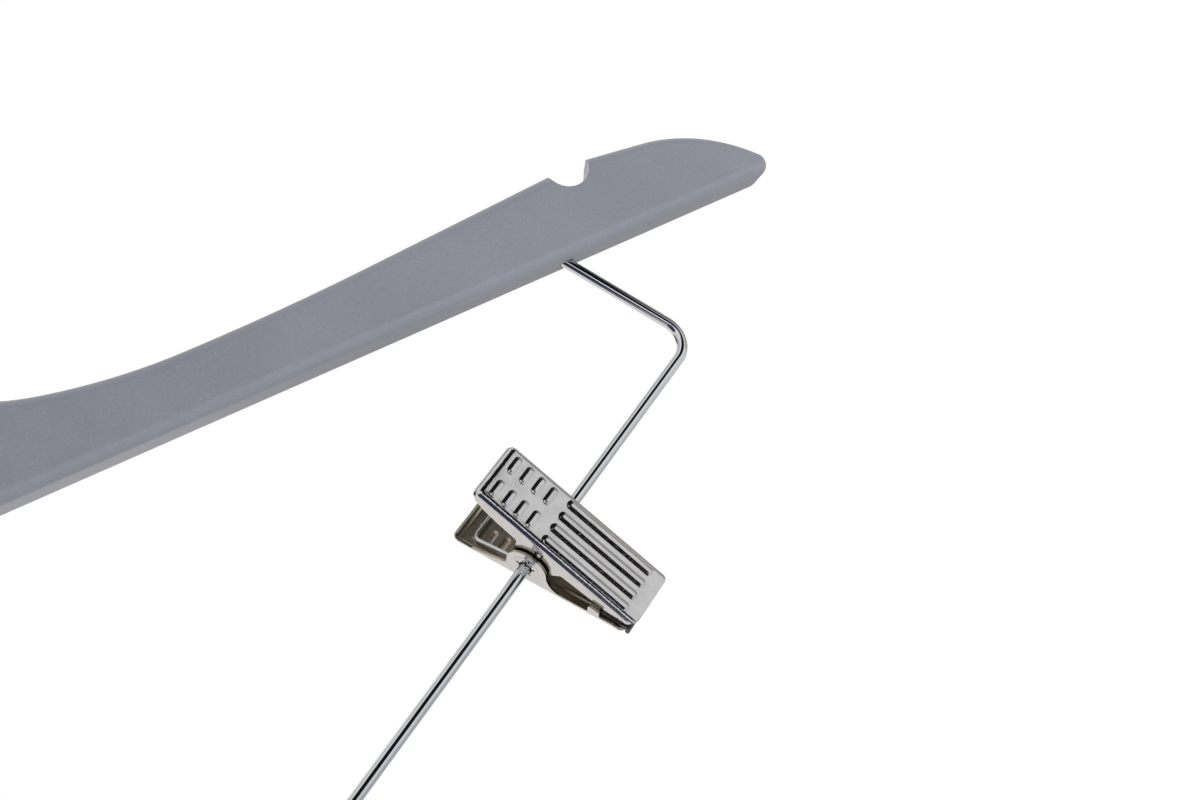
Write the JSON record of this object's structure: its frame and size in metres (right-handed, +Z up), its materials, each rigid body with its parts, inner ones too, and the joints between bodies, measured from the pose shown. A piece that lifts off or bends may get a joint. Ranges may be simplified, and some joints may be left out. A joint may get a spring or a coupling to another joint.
{
  "type": "skirt hanger",
  "caption": "Wooden clothes hanger with shaped arms, strap notches, a swivel hook and a wire bar that carries sliding, sprung pinch clips for skirts or trousers.",
  "frame": {"origin": "inside crown of the hook, where a wardrobe rail carries the hanger", "axes": "+X along the clip bar to the right as seen from the front, +Z up, the front faces -Y"},
  "size_m": [0.462, 0.0257, 0.2452],
  "materials": {
    "painted_wood": "sprayed blue-grey paint, satin",
    "chrome": "bright chrome plate",
    "plated_steel": "nickel-plated pressed sheet, slightly wavy",
    "spring_steel": "plated spring wire",
    "black_rubber": "matt black rubber"
  },
  "bodies": {
    "hook": {"hook": "chrome"},
    "hanger": {"left_arm": "painted_wood", "right_arm": "painted_wood", "hook_ferrule": "chrome", "clip_bar": "chrome"},
    "right_eyelet": {"right_pivot_eyelet": "plated_steel"},
    "right_rear": {"right_rear_jaw": "plated_steel", "right_spring": "spring_steel", "right_rear_pad": "black_rubber"},
    "right_front": {"right_front_jaw": "plated_steel", "right_front_pad": "black_rubber"},
    "left_eyelet": {"left_pivot_eyelet": "plated_steel"},
    "left_rear": {"left_rear_jaw": "plated_steel", "left_spring": "spring_steel", "left_rear_pad": "black_rubber"},
    "left_front": {"left_front_jaw": "plated_steel", "left_front_pad": "black_rubber"}
  },
  "joints": [
    {"name": "hook_swivel", "type": "hinge", "parent": "hook", "child": "hanger", "pos_m": [0, 0, -0.0619], "axis": [0, 0, 1], "continuous": true},
    {"name": "right_clip_slide", "type": "slide", "parent": "hanger", "child": "right_eyelet", "axis": [1, 0, 0], "range_m": [-0.0787, 0.0563]},
    {"name": "right_clip_swing", "type": "hinge", "parent": "right_eyelet", "child": "right_rear", "pos_m": [0.0907, 0, -0.21218], "axis": [1, 0, 0], "continuous": true},
    {"name": "right_jaw_open", "type": "hinge", "parent": "right_rear", "child": "right_front", "pos_m": [0.0907, 0, -0.21218], "axis": [-1, 0, 0], "range_deg": [0, 30], "stiffness_Nm_per_rad": 0.02, "springref_deg": -28.65, "deforming": ["right_spring"]},
    {"name": "left_clip_slide", "type": "slide", "parent": "hanger", "child": "left_eyelet", "axis": [-1, 0, 0], "range_m": [-0.0787, 0.0563]},
    {"name": "left_clip_swing", "type": "hinge", "parent": "left_eyelet", "child": "left_rear", "pos_m": [-0.0907, 0, -0.21218], "axis": [1, 0, 0], "continuous": true},
    {"name": "left_jaw_open", "type": "hinge", "parent": "left_rear", "child": "left_front", "pos_m": [-0.0907, 0, -0.21218], "axis": [-1, 0, 0], "range_deg": [0, 30], "stiffness_Nm_per_rad": 0.02, "springref_deg": -28.65, "deforming": ["left_spring"]}
  ]
}
